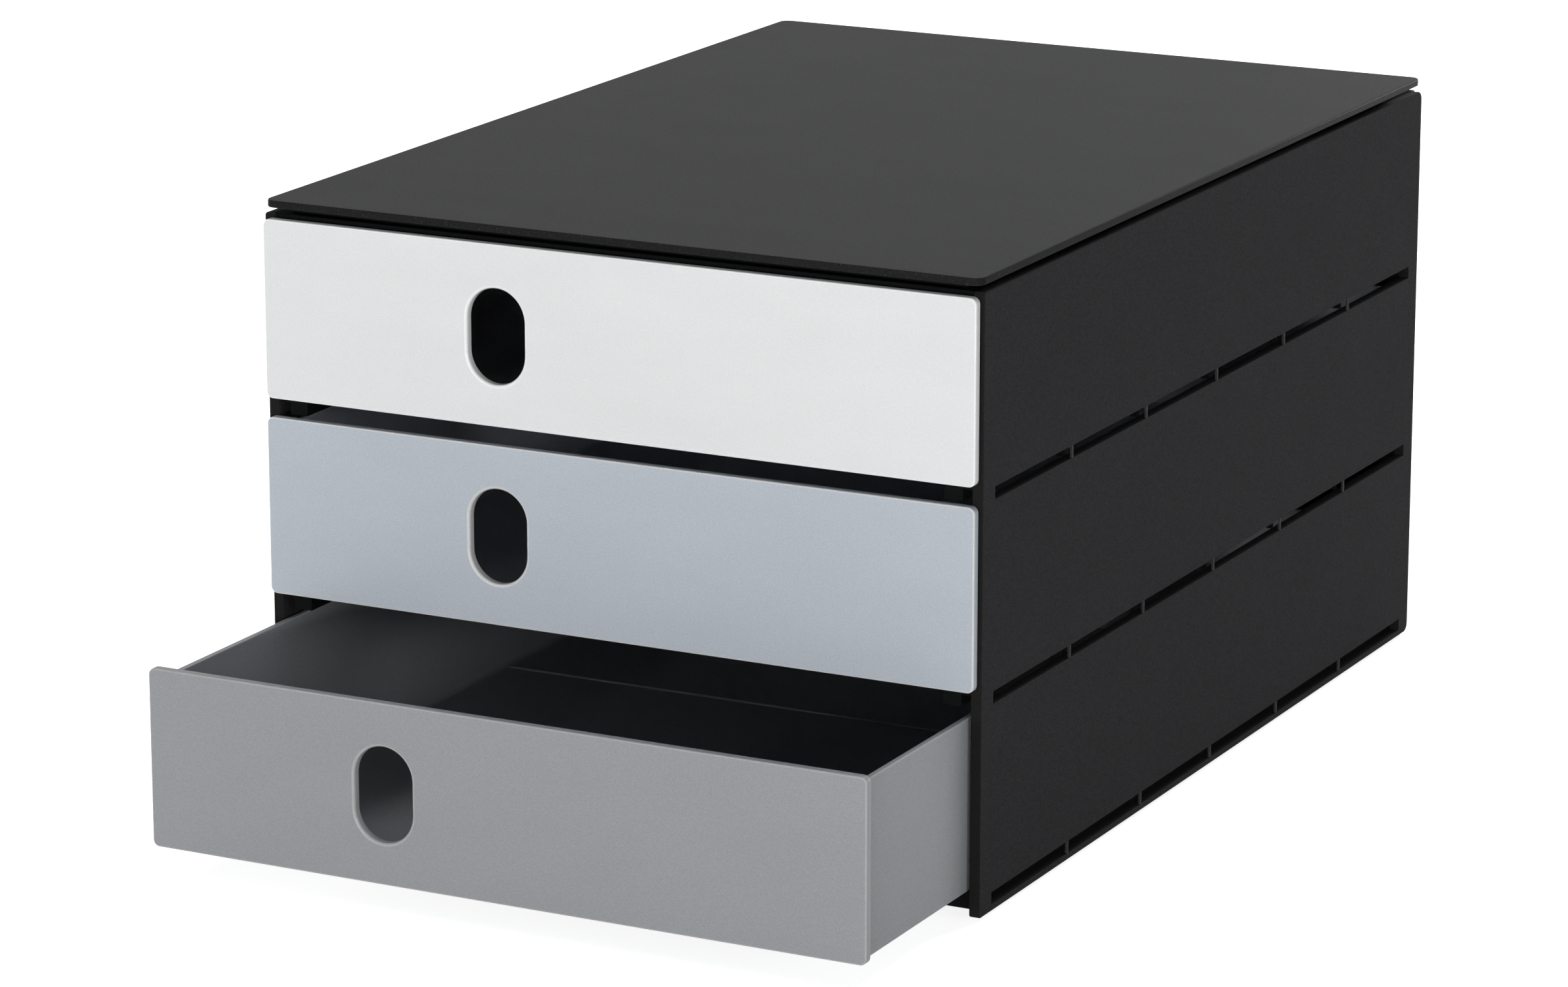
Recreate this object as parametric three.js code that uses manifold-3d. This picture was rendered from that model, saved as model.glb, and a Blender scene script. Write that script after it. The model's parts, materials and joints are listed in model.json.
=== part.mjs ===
// Desktop file drawer: a slotted housing with a flat lid and three sliding document trays.
// Lengths are millimetres. +X is right, +Y is back, +Z is up, seen from the drawer fronts.
// Inside the model y = 0 is the face of a closed drawer front, and z = 0 is the table.

import * as THREE from "three";
import { mergeVertices } from "three/addons/utils/BufferGeometryUtils.js";
import Module from "manifold-3d";

const wasm = await Module();
wasm.setup();

// Drawer fronts, a little narrower than the housing
const frontSideInset = 1.2;
const frontHeight = 58.4;
const frontThickness = 3;
const frontCornerRadius = 2.2;
const frontGap = 6.15;
const lowestFrontLift = 8.1;

// Finger holes, upright with round ends, left of the middle and a little under it
const holeWidth = 20.5;
const holeHeight = 30.9;
const holeOffset = -40.5;
const holeDrop = 0.3;

// Trays
const trayWall = 2;
const trayWallDrop = 2.9;
const trayFloor = 2;
const traySkid = 1.5;
const traySidePlay = 1.8;
const trayBackPlay = 8;
const floorRibDistance = 212;
const floorRibWidth = 1.5;
const floorRibHeight = 1;

// Side panels of the housing
const housingWidth = 252.4;
const panelThickness = 2.8;
const panelDepth = 359.3;
const panelRise = 1.2;
const panelFrontRadius = 1;
const panelBackRadius = 3;
const closedGap = 0.5;

// Slots in the side panels, one row under each runner ledge
const slotHeight = 4.05;
const slotRib = 1;
const slotFrontMargin = 8.6;
const slotBackMargin = 8.4;

// Runners, each a ledge with a hanging skirt and cross gussets
const runnerClearance = 0.2;
const ledgeThickness = 1.8;
const ledgeReach = 10.8;
const skirtWidth = 6.4;
const skirtDrop = 5.6;
const runnerSetback = 1;
const runnerEndPlug = 3;

// Deck, riser and lid
const deckThickness = 2;
const deckSetback = 1;
const riserHeight = 2.1;
const riserSideInset = 4.9;
const riserFrontInset = 4.5;
const riserBackInset = 15.8;
const lidThickness = 2.5;
const lidSideInset = 0.5;
const lidFrontOverhang = 1.5;
const lidBackOverhang = 0.1;
const lidCornerRadius = 3.5;

// Back panel, base plate and feet
const backThickness = 2.5;
const baseThickness = 2;
const baseSetback = 14;
const footRadius = 6;
const footHeight = 1.2;
const footInset = 16;

// The lowest drawer stands pulled out by this much
const pulledOut = 72.3;

// Overrun of every cut past the faces it goes through
const overrun = 1;

// Counts
const slotColumns = 6;
const arcSteps = 5;
const holeSteps = 14;
const footSides = 32;
const drawers = [
  { name: "lower", out: pulledOut, color: 0x939498 },
  { name: "middle", out: 0, color: 0xb2bac2 },
  { name: "upper", out: 0, color: 0xe2e2e3 },
];

// Places worked out from the sizes above
const frontWidth = housingWidth - frontSideInset * 2;
const drawerPitch = frontHeight + frontGap;
const stackBottom = footHeight + lowestFrontLift;
const stackTop = stackBottom + drawerPitch * (drawers.length - 1) + frontHeight;
const panelBottom = footHeight;
const panelTop = stackTop + panelRise;
const panelFront = frontThickness + closedGap;
const panelBack = panelFront + panelDepth;
const housingHalf = housingWidth / 2;
const insideHalf = housingHalf - panelThickness;
const backFace = panelBack - backThickness;
const runnerFront = panelFront + runnerSetback;
const trayHalf = insideHalf - traySidePlay;
const trayBack = backFace - trayBackPlay;
const baseFront = panelFront + baseSetback;
const riserTop = panelTop + riserHeight;
const lidFront = panelFront - lidFrontOverhang;
const lidBack = panelBack + lidBackOverhang;

const frontBottom = (level) => stackBottom + drawerPitch * level;
const ledgeTop = (level) => frontBottom(level) - runnerClearance;

// Finishes
const plastic = (name, color, roughness) =>
  new THREE.MeshStandardMaterial({ name, color, roughness, metalness: 0 });
const lidFinish = () => plastic("lid_plastic", 0x4d4d4d, 0.5);
const shellFinish = () => plastic("shell_plastic", 0x2e3033, 0.55);
const rubberFinish = () => plastic("foot_rubber", 0x181818, 0.9);

// Turns that stand a flat outline up
const acrossX = new THREE.Matrix4().makeBasis(
  new THREE.Vector3(0, 1, 0),
  new THREE.Vector3(0, 0, 1),
  new THREE.Vector3(1, 0, 0),
);
const alongY = new THREE.Matrix4().makeBasis(
  new THREE.Vector3(1, 0, 0),
  new THREE.Vector3(0, 0, 1),
  new THREE.Vector3(0, -1, 0),
);

// Box between two opposite corners
function block(low, high) {
  const size = high.map((value, axis) => value - low[axis]);
  const middle = high.map((value, axis) => (value + low[axis]) / 2);
  return new THREE.BoxGeometry(...size).translate(...middle);
}

// Outline drawn in x and z, standing from y = 0 to y = depth
function standing(outline, depth, curveSegments) {
  const options = { depth, curveSegments, bevelEnabled: false };
  const geometry = new THREE.ExtrudeGeometry(outline, options);
  return geometry.applyMatrix4(alongY).translate(0, depth, 0);
}

// Outline drawn in y and z, standing from x = 0 to x = depth
function facingSide(outline, depth, curveSegments) {
  const options = { depth, curveSegments, bevelEnabled: false };
  return new THREE.ExtrudeGeometry(outline, options).applyMatrix4(acrossX);
}

// Rectangle with a radius of its own at each corner, from the low left one round anticlockwise
function roundedRectangle(left, bottom, right, top, radii) {
  const [lowLeft, lowRight, highRight, highLeft] = radii;
  const quarter = Math.PI / 2;
  const shape = new THREE.Shape();
  const corner = (x, y, radius, turns) => {
    if (radius > 0) {
      shape.absarc(x, y, radius, quarter * turns, quarter * (turns + 1), false);
    } else {
      shape.lineTo(x, y);
    }
  };
  shape.moveTo(left, bottom + lowLeft);
  corner(left + lowLeft, bottom + lowLeft, lowLeft, 2);
  corner(right - lowRight, bottom + lowRight, lowRight, 3);
  corner(right - highRight, top - highRight, highRight, 0);
  corner(left + highLeft, top - highLeft, highLeft, 1);
  shape.closePath();
  return shape;
}

// Closed mesh to solid and back
function toSolid(geometry) {
  const bare = geometry.clone();
  bare.deleteAttribute("normal");
  bare.deleteAttribute("uv");
  const merged = mergeVertices(bare);
  const vertProperties = new Float32Array(merged.attributes.position.array);
  const triVerts = new Uint32Array(merged.index.array);
  return new wasm.Manifold(new wasm.Mesh({ numProp: 3, vertProperties, triVerts }));
}

function toGeometry(solid) {
  const mesh = solid.getMesh();
  const geometry = new THREE.BufferGeometry();
  geometry.setAttribute("position", new THREE.BufferAttribute(mesh.vertProperties, 3));
  geometry.setIndex(new THREE.BufferAttribute(mesh.triVerts, 1));
  geometry.computeVertexNormals();
  return geometry;
}

// Body with pieces cut away
function shaped(body, cuts) {
  return toGeometry(cuts.map(toSolid).reduce((rest, cut) => rest.subtract(cut), toSolid(body)));
}

function piece(name, geometry, material) {
  const mesh = new THREE.Mesh(geometry, material);
  mesh.name = name;
  return mesh;
}

// Upright finger hole with round ends, in a drawer front
function fingerHole() {
  const radius = holeWidth / 2;
  const reach = holeHeight / 2 - radius;
  const middle = frontHeight / 2 - holeDrop;
  const hole = new THREE.Path();
  hole.absarc(holeOffset, middle + reach, radius, 0, Math.PI, false);
  hole.absarc(holeOffset, middle - reach, radius, Math.PI, Math.PI * 2, false);
  hole.closePath();
  return hole;
}

// Flat drawer front, its face at y = 0 and its lower edge at z = 0
function drawerFront() {
  const half = frontWidth / 2;
  const radii = new Array(4).fill(frontCornerRadius);
  const outline = roundedRectangle(-half, 0, half, frontHeight, radii);
  outline.holes.push(fingerHole());
  return standing(outline, frontThickness, holeSteps);
}

// Open tray behind a front: raised floor, two long walls with skids, back wall and a low floor rib
function drawerTray() {
  const wallTop = frontHeight - trayWallDrop;
  const floorTop = traySkid + trayFloor;
  const inner = trayHalf - trayWall;
  const backInner = trayBack - trayWall;
  const front = frontThickness - overrun;
  const ribBack = floorRibDistance + floorRibWidth;
  const ribTop = floorTop + floorRibHeight;
  const body = block([-trayHalf, frontThickness, 0], [trayHalf, trayBack, wallTop]);
  const underside = block([-inner, front, -overrun], [inner, trayBack + overrun, traySkid]);
  const frontBay = block([-inner, front, floorTop], [inner, floorRibDistance, wallTop + overrun]);
  const backBay = block([-inner, ribBack, floorTop], [inner, backInner, wallTop + overrun]);
  const overRib = block([-inner, front, ribTop], [inner, backInner, wallTop + overrun]);
  return shaped(body, [underside, frontBay, backBay, overRib]);
}

// One drawer, standing at its level and pulled out by its own amount
function drawer({ name, out, color }, level) {
  const group = new THREE.Group();
  const finish = () => plastic(`${name}_drawer_plastic`, color, 0.5);
  group.add(piece(`drawer_front_${name}`, drawerFront(), finish()));
  group.add(piece(`drawer_tray_${name}`, drawerTray(), finish()));
  group.position.set(0, -out, frontBottom(level));
  return group;
}

// Length of one slot, from the slotted length and the ribs between the slots
const slottedLength = panelDepth - slotFrontMargin - slotBackMargin;
const slotLength = (slottedLength - slotRib * (slotColumns - 1)) / slotColumns;
const slotPitch = slotLength + slotRib;
const slotStart = (column) => panelFront + slotFrontMargin + slotPitch * column;

// Box between two distances from the middle plane, on the given side
function sideBlock(side, near, far, low, high) {
  const [left, right] = side > 0 ? [near, far] : [-far, -near];
  return block([left, low[0], low[1]], [right, high[0], high[1]]);
}

// Cutter for one slot, right through the side panel and just under its runner's ledge
function slotCutter(side, column, level) {
  const top = ledgeTop(level) - ledgeThickness;
  const start = slotStart(column);
  const low = [start, top - slotHeight];
  const high = [start + slotLength, top];
  return sideBlock(side, insideHalf - overrun, housingHalf + overrun, low, high);
}

// Tall side panel with a row of slots for each drawer
function sidePanel(side) {
  const radii = [panelFrontRadius, panelBackRadius, 0, 0];
  const outline = roundedRectangle(panelFront, panelBottom, panelBack, panelTop, radii);
  const start = side > 0 ? insideHalf : -housingHalf;
  const plate = facingSide(outline, panelThickness, arcSteps).translate(start, 0, 0);
  const columns = [...Array(slotColumns).keys()];
  const cutters = drawers.flatMap((_, level) =>
    columns.map((column) => slotCutter(side, column, level)),
  );
  return shaped(plate, cutters);
}

// Runner on one side panel: a bar with its channel cut out between the gussets, one gusset at each
// rib between two slots. The lowest runners are closed at the front by an end plug.
function runner(side, level) {
  const top = ledgeTop(level);
  const under = top - ledgeThickness;
  const bottom = top - skirtDrop;
  const skirtInner = insideHalf - ledgeReach;
  const skirtOuter = skirtInner + skirtWidth;
  const openFront = runnerFront - overrun;
  const channelFront = level === 0 ? runnerFront + runnerEndPlug : openFront;
  const bar = sideBlock(side, skirtInner, insideHalf, [runnerFront, bottom], [backFace, top]);
  const channels = [];
  for (let column = 0; column < slotColumns; column += 1) {
    const start = column === 0 ? channelFront : slotStart(column);
    const end = column < slotColumns - 1 ? slotStart(column) + slotLength : backFace + overrun;
    const low = [start, bottom - overrun];
    channels.push(sideBlock(side, skirtOuter, insideHalf + overrun, low, [end, under]));
  }
  return shaped(bar, channels);
}

// Deck between the side panels, above the top drawer
function topDeck() {
  const front = panelFront + deckSetback;
  return block([-insideHalf, front, panelTop - deckThickness], [insideHalf, backFace, panelTop]);
}

// Riser that carries the lid and leaves a shadow gap over the side panels
function lidRiser() {
  const half = insideHalf - riserSideInset;
  const front = panelFront + riserFrontInset;
  return block([-half, front, panelTop], [half, panelBack - riserBackInset, riserTop]);
}

function lidPlate() {
  const half = housingHalf - lidSideInset;
  const radii = new Array(4).fill(lidCornerRadius);
  const outline = roundedRectangle(-half, lidFront, half, lidBack, radii);
  const options = { depth: lidThickness, curveSegments: arcSteps, bevelEnabled: false };
  return new THREE.ExtrudeGeometry(outline, options).translate(0, 0, riserTop);
}

function backPanel() {
  return block([-insideHalf, backFace, panelBottom], [insideHalf, panelBack, panelTop]);
}

function basePlate() {
  const top = panelBottom + baseThickness;
  return block([-insideHalf, baseFront, panelBottom], [insideHalf, backFace, top]);
}

// Round foot under the base plate, at one corner
function foot(sideX, sideY) {
  const geometry = new THREE.CylinderGeometry(footRadius, footRadius, footHeight, footSides);
  const x = (insideHalf - footInset) * sideX;
  const middle = (baseFront + backFace) / 2;
  const reach = (backFace - baseFront) / 2 - footInset;
  return geometry.rotateX(Math.PI / 2).translate(x, middle + reach * sideY, footHeight / 2);
}

function housing() {
  const group = new THREE.Group();
  const sides = [
    ["left", -1],
    ["right", 1],
  ];
  const ends = [
    ["front", -1],
    ["back", 1],
  ];
  group.add(piece("lid_plate", lidPlate(), lidFinish()));
  group.add(piece("lid_riser", lidRiser(), shellFinish()));
  group.add(piece("top_deck", topDeck(), shellFinish()));
  group.add(piece("back_panel", backPanel(), shellFinish()));
  group.add(piece("base_plate", basePlate(), shellFinish()));
  for (const [sideName, side] of sides) {
    group.add(piece(`side_panel_${sideName}`, sidePanel(side), shellFinish()));
    drawers.forEach(({ name }, level) => {
      group.add(piece(`runner_${name}_${sideName}`, runner(side, level), shellFinish()));
    });
    for (const [endName, end] of ends) {
      group.add(piece(`foot_${endName}_${sideName}`, foot(side, end), rubberFinish()));
    }
  }
  return group;
}

// The finished model, moved so that its origin is under the middle of its overall length
const fileDrawer = new THREE.Group();
fileDrawer.add(housing());
drawers.forEach((entry, level) => fileDrawer.add(drawer(entry, level)));
fileDrawer.position.y = (Math.max(...drawers.map(({ out }) => out)) - lidBack) / 2;

export default fileDrawer;
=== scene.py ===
"""Looks for the desktop file drawer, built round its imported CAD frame. Lengths are metres."""

import json
import math

import bmesh
import bpy
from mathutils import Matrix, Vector

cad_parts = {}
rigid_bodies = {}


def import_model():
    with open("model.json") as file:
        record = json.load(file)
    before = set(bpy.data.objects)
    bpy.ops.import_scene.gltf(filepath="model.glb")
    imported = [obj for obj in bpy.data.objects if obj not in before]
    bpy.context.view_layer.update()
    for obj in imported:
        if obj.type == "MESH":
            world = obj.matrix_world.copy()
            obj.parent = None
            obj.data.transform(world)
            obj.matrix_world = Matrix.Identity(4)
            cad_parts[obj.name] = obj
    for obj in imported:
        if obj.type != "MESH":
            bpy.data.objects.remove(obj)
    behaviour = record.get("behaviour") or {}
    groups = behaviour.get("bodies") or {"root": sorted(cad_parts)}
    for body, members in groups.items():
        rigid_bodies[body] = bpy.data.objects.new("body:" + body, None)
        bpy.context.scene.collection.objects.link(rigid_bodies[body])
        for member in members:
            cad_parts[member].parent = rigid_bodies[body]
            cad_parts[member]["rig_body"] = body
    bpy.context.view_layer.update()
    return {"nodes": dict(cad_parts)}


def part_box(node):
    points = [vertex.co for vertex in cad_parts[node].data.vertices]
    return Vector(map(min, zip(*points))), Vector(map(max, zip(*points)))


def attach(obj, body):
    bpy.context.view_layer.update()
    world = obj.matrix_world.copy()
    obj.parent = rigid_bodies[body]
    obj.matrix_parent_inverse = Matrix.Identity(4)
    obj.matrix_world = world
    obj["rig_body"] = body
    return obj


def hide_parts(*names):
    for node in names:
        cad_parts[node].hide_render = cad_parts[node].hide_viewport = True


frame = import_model()

MM = 0.001

# Rounded edges
FRONT_FACE_EDGE = 0.45 * MM
FRONT_BACK_EDGE = 0.25 * MM
HOLE_FACE_EDGE = 0.9 * MM
HOLE_BACK_EDGE = 0.25 * MM
LID_TOP_EDGE = 0.5 * MM
LID_UNDER_EDGE = 0.3 * MM
WALL_EDGE = 0.4 * MM
TRAY_END_EDGE = 0.2 * MM
FLOOR_FILLET = 2.5 * MM
RIB_EDGE = 0.7 * MM
FRAME_BEVEL = 0.25 * MM
RIM = 0.2 * MM
ARC_STEPS = 6
CORNER_STEPS = 8
HOLE_STEPS = 32
BEVEL_SEGMENTS = 2
WELD_REACH = 0.001 * MM
SHARP_ANGLE = 35
# Narrow faces of rounded edges up to this width can take a painted highlight
HIGHLIGHT_WIDTH = 0.3 * MM

# Outlines that the frame's boxes don't give
FRONT_CORNER = 2.2 * MM
HOLE_WIDTH = 20.5 * MM
HOLE_HEIGHT = 30.9 * MM
HOLE_ACROSS = -40.5 * MM
HOLE_DROP = 0.3 * MM
LID_CORNER = 3.5 * MM
TRAY_WALL = 2 * MM
TRAY_SKID = 1.5 * MM
TRAY_FLOOR = 2 * MM
FLOOR_RIB_BEHIND_FACE = 212 * MM
FLOOR_RIB_WIDTH = 1.5 * MM
FLOOR_RIB_HEIGHT = 0.6 * MM
PANEL_EDGE = 0.3 * MM
PANEL_THICKNESS = 3.6 * MM
PANEL_FRONT_CORNER = 1 * MM
PANEL_BACK_CORNER = 3 * MM
SLOT_EDGE = 0.1 * MM
SLOT_FROM_FRONT = 8.6 * MM
SLOT_FROM_BACK = 8.4 * MM
SLOT_BELOW_FRONT = 6.05 * MM
SLOT_HEIGHT = 4.05 * MM
SLOT_COLUMNS = 6
WEB_WIDTH = 1 * MM
WEB_DEPTH = 0.7 * MM
WEB_SETBACK = 0.05 * MM

# How far parts to be joined reach into each other, and how far they stay inside the outer faces
OVERLAP = 1 * MM
TUCK = 0.2 * MM

# Camera, from the fit to the photograph's edges
CAMERA_PLACE = (0.8509, -1.6855, 0.5860)
CAMERA_YAW = 27.162
CAMERA_PITCH = 14.784
CAMERA_LENS = 134.49
SENSOR_WIDTH = 36
CLIP_NEAR = 0.05
CLIP_FAR = 100

# Studio: a dim world that fades overhead, and a pale floor that the camera sees as white
WORLD_LIGHT = (0.14, 0.16, 0.168)
OVERHEAD_SHARE = 0.2
WHITE = (1, 1, 1, 1)
FLOOR_GREY = (0.8, 0.8, 0.8, 1)
FLOOR_ROUGHNESS = 0.9
FLOOR_LIFT = 0.83
FLOOR_REACH = 3.5

# Soft lamps, long low ones all round and high ones on the left and behind, as
# (azimuth from the front to the right, elevation, strength, size)
LAMP_DISTANCE = 3
LAMP_TARGET = (0, 0, 0.1)
LOW_LAMP = (2.4, 0.2)
LONG_LAMP = (2.4, 0.4)
WIDE_LAMP = (1.8, 0.9)
LAMPS = {
    "front": (8, 2, 0.63, LOW_LAMP),
    "right": (68, 11, 0.19, LONG_LAMP),
    "left": (-105, 4, 0.45, LONG_LAMP),
    "back": (175, 4, 0.5, LONG_LAMP),
    "high_left": (-75, 45, 0.2, LONG_LAMP),
    "high_back": (180, 50, 0.72, WIDE_LAMP),
}

LEVELS = ("lower", "middle", "upper")
INNER_NODES = ("runner_", "lid_riser", "top_deck")
REPLACED_NODES = ("lid_plate", "side_panel_")

# Which of its piece's plastics a face takes
FACE_PLASTIC, EDGE_PLASTIC, WEB_PLASTIC = range(3)

# A face is flat across an axis when its normal's part along the axis is larger than this, and
# a part of the normal counts when it is larger than SLANT
EDGE_SLOPE = {"x": 0.9, "y": 0.7, "z": 0.7}
SLANT = 0.05
FORWARDS = Vector((0, -1, 0))
UP = Vector((0, 0, 1))

# Marks in moulded plastic: their sizes, detail and spread of noise, and how strong they are
GRAIN = 0.35 * MM
NICK = 0.8 * MM
FLOW_MARK = 16 * MM
FLOW_STRETCH = (3, 1, 1)
SHEEN_PATCH = 30 * MM
GRAIN_DETAIL = 3
NICK_DETAIL = 1
FLOW_DETAIL = 2
SHEEN_DETAIL = 3
NOISE_SPAN = (0.3, 0.7)
NICK_SPAN = (0.66, 0.74)
RELIEF = 0.012 * MM
FLOW = 0.015
SHEEN = 0.02

# Plastics. Those of the drawers share their sheen
EDGE_ROUGHNESS = 0.3
DRAWER_SHEEN = {"roughness": 0.45, "edge_specular": 0.3}
FRONT_SPECULAR = 0.4
TRAY_SPECULAR = 0.3
# Each edge_colour is paler than its colour: a painted highlight on the drawers' rounded edges,
# the tops of the tray walls and the finger-hole walls
DRAWER_COLOURS = {
    "lower": {"colour": (0.265, 0.27, 0.282), "mottle": 0.12, "edge_colour": (0.38,) * 3},
    "middle": {"colour": (0.435, 0.465, 0.512), "mottle": 0.12, "edge_colour": (0.62,) * 3},
    "upper": {"colour": (0.72, 0.72, 0.723), "mottle": 0.06, "edge_colour": (0.85,) * 3},
}
# The lid's top colour holds a painted sheen, the glancing reflection a low view gives it, on top
# of its own dark grey; its darker edge_colour is close to the plastic's own
LID = {
    "colour": (0.07,) * 3,
    "roughness": 0.5,
    "specular": 0.002,
    "mottle": 0.3,
    "edge_colour": (0.016,) * 3,
    "edge_specular": 0.01,
    "nicks": 1.5,
}
# The shell's paler edge_colour is a painted highlight on the housing's bevels and the webs
# between the side panels' slots
SHELL = {
    "colour": (0.0305, 0.0293, 0.0312),
    "roughness": 0.55,
    "specular": 0.004,
    "mottle": 0.4,
    "edge_colour": (0.04,) * 3,
    "edge_specular": 0.01,
    "nicks": 0.5,
}
# Darker plastic for the side panels' edges and slot walls: painted shade in the slots and along
# the edges
PANEL_RIM_SHADE = {
    "colour": (0.015, 0.0145, 0.014),
    "roughness": 0.55,
    "specular": 0.004,
    "mottle": 0.2,
    "nicks": 0.5,
}
# Near-black plastic for the runners, riser and top deck: painted shade, as these parts sit in the
# shade of the gaps
INNER_SHADE = {
    "colour": (0.007, 0.0075, 0.0075),
    "roughness": 0.6,
    "specular": 0.004,
    "mottle": 0.1,
    "edge_colour": (0.007,) * 3,
    "edge_specular": 0.004,
}
RUBBER = {
    "colour": (0.01,) * 3,
    "roughness": 0.85,
    "specular": 0.1,
    "mottle": 0.1,
    "edge_colour": (0.01,) * 3,
    "edge_specular": 0.1,
}


def arc(centre, radius, start, end, steps):
    """Points along an arc, angles in degrees, both ends included."""
    turns = [math.radians(start + (end - start) * step / steps) for step in range(steps + 1)]
    return [(centre[0] + radius * math.cos(t), centre[1] + radius * math.sin(t)) for t in turns]


def rounded_rectangle(low, high, radii, steps=CORNER_STEPS):
    """Anticlockwise outline. The radii go round from the low left corner."""
    spots = (
        (low[0], low[1], 1, 1),
        (high[0], low[1], -1, 1),
        (high[0], high[1], -1, -1),
        (low[0], high[1], 1, -1),
    )
    points = []
    for quarter, ((x, y, right, up), radius) in enumerate(zip(spots, radii)):
        if radius > 0:
            centre = (x + right * radius, y + up * radius)
            start = 180 + 90 * quarter
            points += arc(centre, radius, start, start + 90, steps)
        else:
            points.append((x, y))
    return points


def stadium(centre, width, height, steps):
    """Anticlockwise upright slot with round ends."""
    radius = width / 2
    reach = height / 2 - radius
    top = arc((centre[0], centre[1] + reach), radius, 0, 180, steps)
    return top + arc((centre[0], centre[1] - reach), radius, 180, 360, steps)


def left_of(start, end):
    """Unit vector to the left of the way from start to end."""
    way = Vector(end) - Vector(start)
    return Vector((-way.y, way.x)).normalized()


def moved_in(outline, distance):
    """The outline moved to its left, so into the material that it goes round."""
    moved = []
    for i, point in enumerate(outline):
        before = left_of(outline[i - 1], point)
        after = left_of(point, outline[(i + 1) % len(outline)])
        shift = (before + after) * (distance / (1 + before.dot(after)))
        moved.append((point[0] + shift.x, point[1] + shift.y))
    return moved


def edge_rings(near, far, thickness):
    """(distance in, depth) of each ring from the near face round both edges to the far face."""
    quarter = [math.pi / 2 * step / ARC_STEPS for step in range(ARC_STEPS + 1)]
    rings = [(near + RIM, 0)]
    rings += [(near * (1 - math.sin(t)), near * (1 - math.cos(t))) for t in quarter]
    rings += [(far * (1 - math.cos(t)), thickness - far * (1 - math.sin(t))) for t in quarter]
    return rings + [(far + RIM, thickness)]


def add_object(name, mesh):
    piece = bpy.data.objects.new(name, mesh)
    bpy.context.scene.collection.objects.link(piece)
    return piece


def finished(mesh):
    """Smooth faces with sharp corners."""
    mesh.polygons.foreach_set("use_smooth", [True] * len(mesh.polygons))
    mesh.set_sharp_from_angle(angle=math.radians(SHARP_ANGLE))
    return mesh


def from_front(start):
    """Places a section that is seen from the front, with its depth going back from start."""
    return lambda a, b, depth: (a, start + depth, b)


def from_side(start, way=1):
    """Places a section that is seen from the side, with its depth going across from start."""
    return lambda a, b, depth: (start + way * depth, a, b)


def from_below(start):
    """Places a section that is seen from above, with its depth going up from start."""
    return lambda a, b, depth: (a, b, start + depth)


def rounded_plate(name, loops, thickness, place):
    """Plate with rounded edges. Each loop is (outline, near radius, far radius): the outer one
    first and anticlockwise, then the holes, which go clockwise. place gives the points."""
    shape = bmesh.new()
    near_rims, far_rims = [], []
    for outline, near, far in loops:
        rings = [
            [shape.verts.new(place(a, b, depth)) for a, b in moved_in(outline, distance)]
            for distance, depth in edge_rings(near, far, thickness)
        ]
        for upper, lower in zip(rings, rings[1:]):
            for i in range(len(outline)):
                shape.faces.new((upper[i - 1], upper[i], lower[i], lower[i - 1]))
        near_rims.append(rings[0])
        far_rims.append(rings[-1])
    for rims in (near_rims, far_rims):
        edges = [shape.edges.get((rim[i - 1], rim[i])) for rim in rims for i in range(len(rim))]
        bmesh.ops.triangle_fill(shape, use_beauty=True, use_dissolve=False, edges=edges)
    bmesh.ops.recalc_face_normals(shape, faces=shape.faces)
    mesh = bpy.data.meshes.new(name)
    shape.to_mesh(mesh)
    shape.free()
    return add_object(name, finished(mesh))


def bar(name, low, high):
    """Box from corner to corner, to be joined to a larger piece."""
    shape = bmesh.new()
    bmesh.ops.create_cube(shape, size=1)
    for vertex in shape.verts:
        vertex.co = [a + (b - a) * (part + 0.5) for a, b, part in zip(low, high, vertex.co)]
    mesh = bpy.data.meshes.new(name)
    shape.to_mesh(mesh)
    shape.free()
    return add_object(name, mesh)


def edged(piece, axis):
    """All faces but the flat ones across that axis take the plastic of the edges."""
    for face in piece.data.polygons:
        flat = abs(getattr(face.normal, axis)) >= EDGE_SLOPE[axis]
        face.material_index = FACE_PLASTIC if flat else EDGE_PLASTIC
    return piece


def highlit_edges(piece, way):
    """The narrow faces of rounded edges that look that way take the paler plastic of the edges, a
    painted highlight.
    """
    points = [vertex.co for vertex in piece.data.vertices]
    for face in piece.data.polygons:
        longest = max((points[a] - points[b]).length for a, b in face.edge_keys)
        slanted = sum(abs(part) > SLANT for part in face.normal) > 1
        takes_highlight = slanted and face.normal.dot(way) > SLANT and face.area / longest < HIGHLIGHT_WIDTH
        face.material_index = EDGE_PLASTIC if takes_highlight else FACE_PLASTIC
    return piece


def joined(name, body, *others):
    """One closed piece from solids that overlap."""
    for other in others:
        union = body.modifiers.new("union", "BOOLEAN")
        union.operation = "UNION"
        union.solver = "MANIFOLD"
        union.object = other
    evaluated = body.evaluated_get(bpy.context.evaluated_depsgraph_get())
    mesh = bpy.data.meshes.new_from_object(evaluated)
    for part in (body, *others):
        bpy.data.objects.remove(part)
    return add_object(name, finished(mesh))


# Materials


def add_node(tree, kind, **values):
    node = tree.nodes.new(kind)
    for name, value in values.items():
        setattr(node, name, value)
    return node


def noise(tree, coordinates, size, detail, stretch=(1, 1, 1)):
    """Noise factor whose grains are about that size, stretched along each axis."""
    scaling = add_node(tree, "ShaderNodeMapping", vector_type="POINT")
    scaling.inputs["Scale"].default_value = [1 / (size * s) for s in stretch]
    texture = add_node(tree, "ShaderNodeTexNoise")
    texture.inputs["Scale"].default_value = 1
    texture.inputs["Detail"].default_value = detail
    tree.links.new(coordinates, scaling.inputs["Vector"])
    tree.links.new(scaling.outputs["Vector"], texture.inputs["Vector"])
    return texture.outputs["Fac"]


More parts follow.
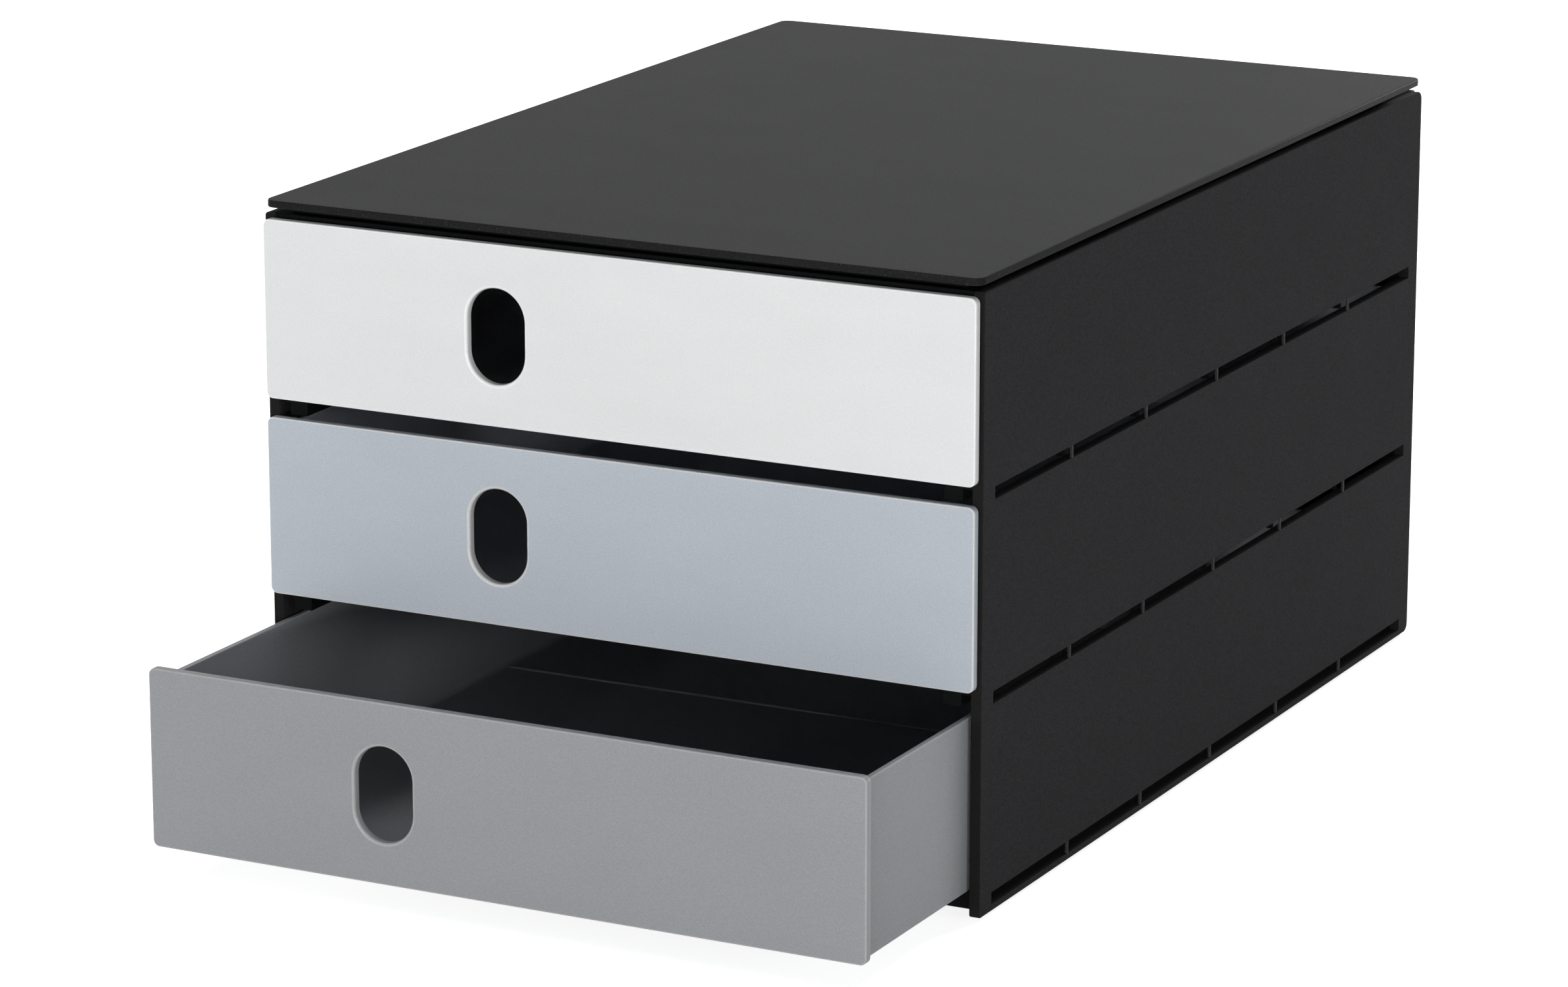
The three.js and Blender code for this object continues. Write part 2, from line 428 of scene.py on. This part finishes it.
def in_range(tree, factor, low, high, span=(0, 1)):
    """The factor's span spread between two values."""
    spread = add_node(tree, "ShaderNodeMapRange")
    spread.inputs["From Min"].default_value = span[0]
    spread.inputs["From Max"].default_value = span[1]
    spread.inputs["To Min"].default_value = low
    spread.inputs["To Max"].default_value = high
    tree.links.new(factor, spread.inputs["Value"])
    return spread.outputs["Result"]


def combined(tree, operation, first, second):
    """Two factors put together, such as their product or the larger one."""
    combining = add_node(tree, "ShaderNodeMath", operation=operation)
    tree.links.new(first, combining.inputs[0])
    tree.links.new(second, combining.inputs[1])
    return combining.outputs["Value"]


def shaded(tree, colour, factor):
    """The colour times the factor."""
    scaling = add_node(tree, "ShaderNodeVectorMath", operation="SCALE")
    scaling.inputs[0].default_value = colour
    tree.links.new(factor, scaling.inputs["Scale"])
    return scaling.outputs["Vector"]


def moulded_plastic(name, colour, roughness, specular, mottle, nicks=0):
    """Moulded plastic with a fine spark-eroded grain, faint flow marks and uneven sheen. mottle
    is how far the grain's colour varies, and nicks how much lighter scattered specks are."""
    material = bpy.data.materials.new(name)
    material.use_nodes = True
    tree = material.node_tree
    shader = tree.nodes["Principled BSDF"].inputs
    coordinates = add_node(tree, "ShaderNodeTexCoord").outputs["Object"]
    fine = noise(tree, coordinates, GRAIN, GRAIN_DETAIL)
    marks = noise(tree, coordinates, FLOW_MARK, FLOW_DETAIL, FLOW_STRETCH)
    patches = noise(tree, coordinates, SHEEN_PATCH, SHEEN_DETAIL)
    speckle = in_range(tree, fine, 1 - mottle, 1 + mottle, NOISE_SPAN)
    streaks = in_range(tree, marks, 1 - FLOW, 1 + FLOW, NOISE_SPAN)
    shade = combined(tree, "MULTIPLY", speckle, streaks)
    if nicks:
        spots = noise(tree, coordinates, NICK, NICK_DETAIL)
        wear = in_range(tree, spots, 1, 1 + nicks, NICK_SPAN)
        shade = combined(tree, "MULTIPLY", shade, wear)
    tree.links.new(shaded(tree, colour, shade), shader["Base Color"])
    sheen = in_range(tree, patches, roughness - SHEEN, roughness + SHEEN, NOISE_SPAN)
    tree.links.new(sheen, shader["Roughness"])
    shader["Specular IOR Level"].default_value = specular
    bump = add_node(tree, "ShaderNodeBump")
    bump.inputs["Strength"].default_value = 1
    bump.inputs["Distance"].default_value = RELIEF
    tree.links.new(fine, bump.inputs["Height"])
    tree.links.new(bump.outputs["Normal"], shader["Normal"])
    return material


def plastic_pair(name, colour, roughness, specular, mottle, edge_colour, edge_specular, nicks=0):
    """Plastic of a piece's faces and of its edges, which are smoother. Where the two colours
    differ, the paler one carries painted light: a painted highlight on the edges of drawers and
    shell, a painted sheen on the lid's top.
    """
    faces = moulded_plastic(f"{name}_plastic", colour, roughness, specular, mottle)
    edges = moulded_plastic(
        f"{name}_edge", edge_colour, EDGE_ROUGHNESS, edge_specular, mottle, nicks
    )
    return faces, edges


# Pieces


def coat(piece, plastics):
    """The plastic of the faces first, then those of the edges and webs."""
    for material in plastics:
        piece.data.materials.append(material)
    return piece


def place_on(piece, body):
    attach(piece, body)


def make_front(level, plastics):
    """Flat drawer front with an upright finger hole."""
    node = f"drawer_front_{level}"
    low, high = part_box(node)
    corners = [FRONT_CORNER] * 4
    outline = rounded_rectangle((low.x, low.z), (high.x, high.z), corners)
    middle = (HOLE_ACROSS, (low.z + high.z) / 2 - HOLE_DROP)
    hole = stadium(middle, HOLE_WIDTH, HOLE_HEIGHT, HOLE_STEPS)[::-1]
    loops = [(outline, FRONT_FACE_EDGE, FRONT_BACK_EDGE), (hole, HOLE_FACE_EDGE, HOLE_BACK_EDGE)]
    plate = rounded_plate(f"{level}_front", loops, high.y - low.y, from_front(low.y))
    piece = highlit_edges(plate, FORWARDS)
    # The wall of the hole takes the paler edge plastic too, a painted highlight like the edges'
    for face in piece.data.polygons:
        near_hole = abs(face.center.x - HOLE_ACROSS) < HOLE_WIDTH
        if near_hole and abs(face.normal.y) < EDGE_SLOPE["y"]:
            face.material_index = EDGE_PLASTIC
    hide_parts(node)
    place_on(coat(piece, plastics), f"{level}_drawer")


def tray_outline(low, high):
    """Section of a tray seen from the front: skids, floor and two walls with rounded tops."""
    inner = high.x - TRAY_WALL
    under = low.z + TRAY_SKID
    floor = under + TRAY_FLOOR
    top = high.z - WALL_EDGE

    def wall(x, start):
        return arc((x, top), WALL_EDGE, start, start + 90, ARC_STEPS)

    def fillet(x, start, end):
        return arc((x, floor + FLOOR_FILLET), FLOOR_FILLET, start, end, ARC_STEPS)

    points = [(low.x, low.z), (-inner, low.z), (-inner, under)]
    points += [(inner, under), (inner, low.z), (high.x, low.z)]
    points += wall(high.x - WALL_EDGE, 0) + wall(inner + WALL_EDGE, 90)
    points += fillet(inner - FLOOR_FILLET, 0, -90) + fillet(FLOOR_FILLET - inner, -90, -180)
    return points + wall(-inner - WALL_EDGE, 0) + wall(low.x + WALL_EDGE, 90)


def make_tray(level, plastics):
    """Tray behind a front: floor on skids, side walls, back wall and a low rib on the floor."""
    node = f"drawer_tray_{level}"
    low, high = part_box(node)
    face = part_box(f"drawer_front_{level}")[0].y
    outline = tray_outline(low, high)
    loops = [(outline, TRAY_END_EDGE, TRAY_END_EDGE)]
    # Rounded edges that look up, here and on the back wall, take the tray's paler edge plastic, a
    # painted highlight on the wall tops
    body = highlit_edges(rounded_plate(f"{level}_shell", loops, high.y - low.y, from_front(low.y)), UP)
    inner = high.x - TRAY_WALL + OVERLAP
    under = low.z + TRAY_SKID + TRAY_FLOOR / 2
    radii = [0, 0, WALL_EDGE, WALL_EDGE]
    outline = rounded_rectangle((-inner, under), (inner, high.z - TUCK), radii)
    loops = [(outline, WALL_EDGE, WALL_EDGE)]
    start = high.y - TRAY_WALL - TUCK
    back = highlit_edges(rounded_plate(f"{level}_back_wall", loops, TRAY_WALL, from_front(start)), UP)
    rib_top = low.z + TRAY_SKID + TRAY_FLOOR + FLOOR_RIB_HEIGHT
    rib_front = face + FLOOR_RIB_BEHIND_FACE
    corner = (rib_front + FLOOR_RIB_WIDTH, rib_top)
    outline = rounded_rectangle((rib_front, under), corner, [0, 0, RIB_EDGE, RIB_EDGE], ARC_STEPS)
    loops = [(outline, TRAY_END_EDGE, TRAY_END_EDGE)]
    rib = rounded_plate(f"{level}_rib", loops, inner * 2, from_side(-inner))
    piece = joined(f"{level}_tray", *(coat(part, plastics) for part in (body, back, rib)))
    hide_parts(node)
    place_on(piece, f"{level}_drawer")


def make_lid(plastics):
    """Flat lid plate with rounded corners."""
    low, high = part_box("lid_plate")
    outline = rounded_rectangle((low.x, low.y), (high.x, high.y), [LID_CORNER] * 4)
    loops = [(outline, LID_UNDER_EDGE, LID_TOP_EDGE)]
    piece = edged(rounded_plate("lid", loops, high.z - low.z, from_below(low.z)), "z")
    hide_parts("lid_plate")
    place_on(coat(piece, plastics), "housing")


def make_side_panel(side, plastics):
    """Side panel with a row of slots just under the lower edge of each front. The webs between
    the slots are thin and nearly flush."""
    node = f"side_panel_{side}"
    low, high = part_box(node)
    outside, inward = (high.x, -1) if side == "right" else (low.x, 1)
    corners = [PANEL_FRONT_CORNER, PANEL_BACK_CORNER, PANEL_BACK_CORNER, PANEL_FRONT_CORNER]
    outline = rounded_rectangle((low.y, low.z), (high.y, high.z), corners)
    start, end = low.y + SLOT_FROM_FRONT, high.y - SLOT_FROM_BACK
    rows = [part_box(f"drawer_front_{level}")[0].z - SLOT_BELOW_FRONT for level in LEVELS]
    loops = [(outline, PANEL_EDGE, PANEL_EDGE)]
    for under in rows:
        slot = rounded_rectangle((start, under), (end, under + SLOT_HEIGHT), [0] * 4)[::-1]
        loops.append((slot, SLOT_EDGE, SLOT_EDGE))
    slab = rounded_plate(f"{side}_slab", loops, PANEL_THICKNESS, from_side(outside, inward))
    panel = coat(edged(slab, "x"), plastics)
    # Edges that look up keep the faces' plastic; the other edges and the slot walls take the
    # darker rim plastic, painted shade
    for face in panel.data.polygons:
        if face.normal.z > EDGE_SLOPE["z"]:
            face.material_index = FACE_PLASTIC
    column = (end - start + WEB_WIDTH) / SLOT_COLUMNS
    depths = sorted(outside + inward * depth for depth in (WEB_SETBACK, WEB_SETBACK + WEB_DEPTH))
    bottom, top = rows[0] - OVERLAP, rows[-1] + SLOT_HEIGHT + OVERLAP
    webs = []
    for number in range(1, SLOT_COLUMNS):
        y = start + column * number
        web = bar(f"web_{number}", (depths[0], y - WEB_WIDTH, bottom), (depths[1], y, top))
        # The webs take the shell's paler edge plastic, a painted highlight
        for face in web.data.polygons:
            face.material_index = WEB_PLASTIC
        webs.append(coat(web, plastics))
    piece = joined(f"{side}_panel", panel, *webs)
    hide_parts(node)
    place_on(piece, "housing")


def dress_housing(shell, inner, rubber):
    """The housing's flat parts keep their CAD shape and get their small edge rounding here."""
    for name, node in frame["nodes"].items():
        if node["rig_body"] != "housing" or name.startswith(REPLACED_NODES):
            continue
        weld = node.modifiers.new("weld", "WELD")
        weld.merge_threshold = WELD_REACH
        bevel = node.modifiers.new("edge", "BEVEL")
        bevel.width = FRAME_BEVEL
        bevel.segments = BEVEL_SEGMENTS
        bevel.limit_method = "ANGLE"
        bevel.angle_limit = math.radians(SHARP_ANGLE)
        bevel.harden_normals = True
        # Bevels take the edge plastic; the shell's is paler, a painted highlight
        bevel.material = EDGE_PLASTIC
        is_foot = name.startswith("foot_")
        outer = rubber if is_foot else shell
        node.data.materials.clear()
        # The runners, riser and deck take the near-black inner plastic, painted shade
        coat(node, inner if name.startswith(INNER_NODES) else outer)


# Studio


def seen_ray(tree):
    """1 for camera, glossy and transmission rays, 0 for the rest."""
    ray = add_node(tree, "ShaderNodeLightPath").outputs
    seen = combined(tree, "MAXIMUM", ray["Is Camera Ray"], ray["Is Glossy Ray"])
    return combined(tree, "MAXIMUM", seen, ray["Is Transmission Ray"])


def floor_material():
    """Pale floor. The camera sees its open part as white, and the shadow stays."""
    material = bpy.data.materials.new("studio_floor")
    material.use_nodes = True
    tree = material.node_tree
    shader = tree.nodes["Principled BSDF"].inputs
    shader["Base Color"].default_value = FLOOR_GREY
    shader["Roughness"].default_value = FLOOR_ROUGHNESS
    shader["Specular IOR Level"].default_value = 0
    shader["Emission Color"].default_value = WHITE
    lift = in_range(tree, seen_ray(tree), 0, FLOOR_LIFT)
    tree.links.new(lift, shader["Emission Strength"])
    return material


def make_floor():
    signs = ((-1, -1), (1, -1), (1, 1), (-1, 1))
    corners = [(FLOOR_REACH * x, FLOOR_REACH * y, 0) for x, y in signs]
    mesh = bpy.data.meshes.new("studio_floor")
    mesh.from_pydata(corners, [], [(0, 1, 2, 3)])
    mesh.materials.append(floor_material())
    add_object("studio_floor", mesh)


def make_world():
    """Dim light that fades overhead, with a white surround for what looks straight at it."""
    world = bpy.data.worlds.new("studio")
    world.use_nodes = True
    tree = world.node_tree
    way = add_node(tree, "ShaderNodeTexCoord").outputs["Generated"]
    parts = add_node(tree, "ShaderNodeSeparateXYZ")
    tree.links.new(way, parts.inputs[0])
    fade = in_range(tree, parts.outputs["Z"], 1, OVERHEAD_SHARE)
    mix = add_node(tree, "ShaderNodeMix", data_type="RGBA")
    colours = [socket for socket in mix.inputs if socket.type == "RGBA"]
    tree.links.new(seen_ray(tree), mix.inputs["Factor"])
    tree.links.new(shaded(tree, WORLD_LIGHT, fade), colours[0])
    colours[1].default_value = WHITE
    mixed = next(socket for socket in mix.outputs if socket.type == "RGBA")
    tree.links.new(mixed, tree.nodes["Background"].inputs["Color"])
    bpy.context.scene.world = world


def add_lamp(name, azimuth, elevation, strength, size):
    """Soft lamp. At strength 1, the colour of a surface that faces it renders as written."""
    turn, rise = math.radians(azimuth), math.radians(elevation)
    across = math.cos(rise)
    away = Vector((math.sin(turn) * across, -math.cos(turn) * across, math.sin(rise)))
    light = bpy.data.lights.new(name, "AREA")
    light.shape = "RECTANGLE"
    light.size, light.size_y = size
    light.energy = strength * (math.pi * LAMP_DISTANCE) ** 2
    lamp = bpy.data.objects.new(name, light)
    lamp.location = Vector(LAMP_TARGET) + away * LAMP_DISTANCE
    lamp.rotation_euler = away.to_track_quat("Z", "Y").to_euler()
    lamp.visible_camera = False
    bpy.context.scene.collection.objects.link(lamp)


def make_camera():
    """Camera at the photograph's angle. Its uprights lean in a little, since it has no shift."""
    data = bpy.data.cameras.new("camera")
    data.sensor_width = SENSOR_WIDTH
    data.lens = CAMERA_LENS
    data.clip_start = CLIP_NEAR
    data.clip_end = CLIP_FAR
    camera = bpy.data.objects.new("camera", data)
    camera.location = CAMERA_PLACE
    camera.rotation_euler = (math.radians(90 - CAMERA_PITCH), 0, math.radians(CAMERA_YAW))
    bpy.context.scene.collection.objects.link(camera)
    bpy.context.scene.camera = camera


for level in LEVELS:
    finish = {**DRAWER_SHEEN, **DRAWER_COLOURS[level]}
    make_front(level, plastic_pair(f"{level}_front", specular=FRONT_SPECULAR, **finish))
    make_tray(level, plastic_pair(f"{level}_tray", specular=TRAY_SPECULAR, **finish))
make_lid(plastic_pair("lid", **LID))
panel_shaded_edge = moulded_plastic("panel_shaded_edge", **PANEL_RIM_SHADE)
shell = plastic_pair("shell", **SHELL)
for side in ("left", "right"):
    make_side_panel(side, (shell[FACE_PLASTIC], panel_shaded_edge, shell[EDGE_PLASTIC]))
dress_housing(shell, plastic_pair("inner", **INNER_SHADE), plastic_pair("rubber", **RUBBER))

make_floor()
make_world()
for name, settings in LAMPS.items():
    add_lamp(name, *settings)
make_camera()
bpy.context.scene.view_settings.view_transform = "Standard"
